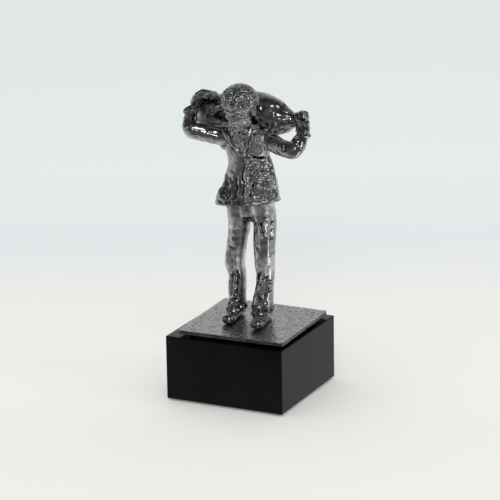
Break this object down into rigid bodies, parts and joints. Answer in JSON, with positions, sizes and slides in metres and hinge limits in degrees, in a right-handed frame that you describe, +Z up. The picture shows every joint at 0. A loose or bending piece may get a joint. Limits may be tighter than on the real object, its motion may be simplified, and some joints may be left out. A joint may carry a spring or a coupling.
{
  "type": "figure trophy",
  "caption": "Small trophy: a polished cast figure carrying a full sack across the shoulders, on a thin metal plate over a square black stone block.",
  "frame": {"origin": "centre of the felt's underside, which is also the centre of the square block in plan", "axes": "+Z up, out of the block towards the figure's head; the figure faces -Y and its left hand is on +X"},
  "size_m": [0.0547, 0.05, 0.1248],
  "materials": {
    "pewter": "polished cast pewter with darkened recesses",
    "plate_pewter": "satin cast pewter, finely pitted",
    "stone": "polished",
    "felt": "black self-adhesive felt",
    "foam": "black double-sided foam tape",
    "steel": "zinc-plated steel"
  },
  "bodies": {
    "root": {"felt_pad": "felt", "marble_block": "stone", "foam_mounting_pad": "foam", "base_plate": "plate_pewter", "trousers_and_shoes": "pewter", "coat": "pewter", "head": "pewter", "right_arm": "pewter", "left_arm": "pewter", "sack": "pewter", "fixing_screw_right": "steel", "fixing_screw_left": "steel", "washer_right": "steel", "washer_left": "steel"}
  },
  "joints": []
}
